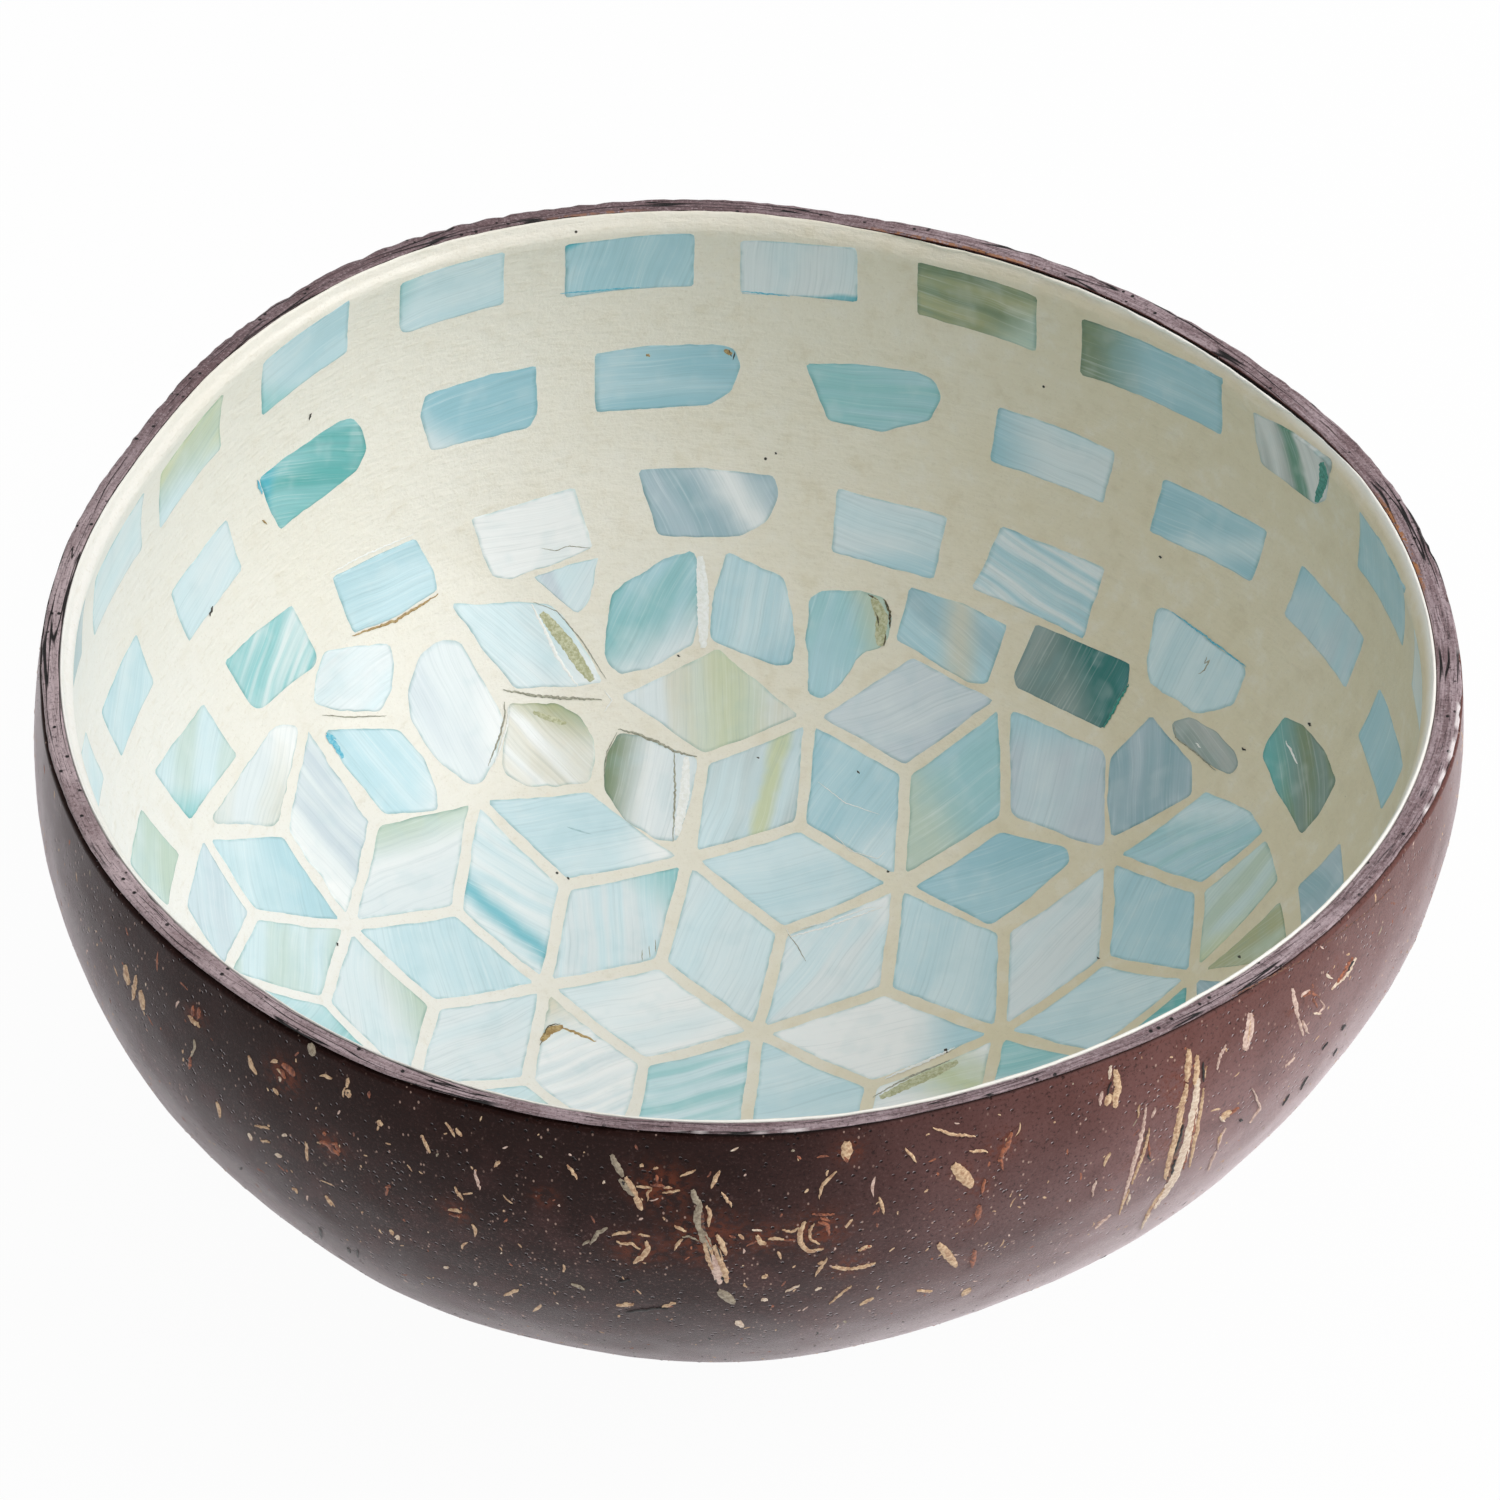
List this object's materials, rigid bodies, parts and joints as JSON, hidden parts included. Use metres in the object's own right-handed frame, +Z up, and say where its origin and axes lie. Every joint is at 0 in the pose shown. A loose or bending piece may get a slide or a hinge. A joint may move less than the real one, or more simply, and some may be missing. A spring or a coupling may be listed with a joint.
{
  "type": "coconut shell bowl",
  "caption": "Half coconut shell bowl with a sanded foot, lined with cream putty inlaid with mother-of-pearl brick rows over a floor of rhombs, under clear lacquer.",
  "frame": {"origin": "middle of the sanded flat that the bowl stands on", "axes": "+Z up out of the bowl's mouth, +X to the right and +Y away from the viewer in the picture"},
  "size_m": [0.1354, 0.1365, 0.0663],
  "materials": {
    "coconut_shell": "polished brown shell with tan fibre flecks",
    "cream_putty": "cream putty under clear lacquer",
    "pale_pearl": "pale blue mother-of-pearl, lacquered",
    "aqua_pearl": "aqua mother-of-pearl, lacquered",
    "white_pearl": "silvery mother-of-pearl, lacquered",
    "blue_pearl": "sky blue mother-of-pearl, lacquered",
    "teal_pearl": "dark teal mother-of-pearl, lacquered"
  },
  "bodies": {
    "root": {"coconut_shell": "coconut_shell", "putty_lining": "cream_putty", "upper_bricks_1": "pale_pearl", "upper_bricks_2": "pale_pearl", "upper_bricks_3": "pale_pearl", "upper_bricks_4": "pale_pearl", "upper_bricks_5": "pale_pearl", "upper_bricks_6": "pale_pearl", "upper_bricks_7": "pale_pearl", "upper_bricks_8": "pale_pearl", "middle_bricks_1": "aqua_pearl", "middle_bricks_2": "aqua_pearl", "middle_bricks_3": "aqua_pearl", "middle_bricks_4": "aqua_pearl", "middle_bricks_5": "aqua_pearl", "middle_bricks_6": "aqua_pearl", "middle_bricks_7": "aqua_pearl", "lower_bricks_1": "white_pearl", "lower_bricks_2": "white_pearl", "lower_bricks_3": "white_pearl", "lower_bricks_4": "white_pearl", "lower_bricks_5": "white_pearl", "lower_bricks_6": "white_pearl", "lower_bricks_7": "white_pearl", "floor_block_1": "blue_pearl", "floor_block_2": "blue_pearl", "floor_block_3": "blue_pearl", "floor_block_4": "blue_pearl", "floor_block_5": "blue_pearl", "floor_block_6": "blue_pearl", "floor_block_7": "blue_pearl", "floor_block_8": "blue_pearl", "floor_block_9": "blue_pearl", "floor_block_10": "blue_pearl", "floor_block_11": "blue_pearl", "floor_block_12": "blue_pearl", "floor_block_13": "blue_pearl", "floor_block_14": "blue_pearl", "floor_block_15": "blue_pearl", "floor_block_16": "blue_pearl", "floor_block_17": "blue_pearl", "floor_block_18": "blue_pearl", "floor_block_19": "blue_pearl", "floor_block_20": "blue_pearl", "floor_block_21": "blue_pearl", "floor_block_22": "blue_pearl", "floor_block_23": "blue_pearl", "floor_block_24": "blue_pearl", "floor_block_25": "blue_pearl", "floor_block_26": "blue_pearl", "floor_block_27": "blue_pearl", "floor_block_28": "blue_pearl", "floor_block_29": "blue_pearl", "floor_block_30": "blue_pearl", "floor_block_31": "blue_pearl", "floor_block_32": "blue_pearl", "floor_block_33": "blue_pearl", "filler_chips": "teal_pearl"}
  },
  "joints": []
}
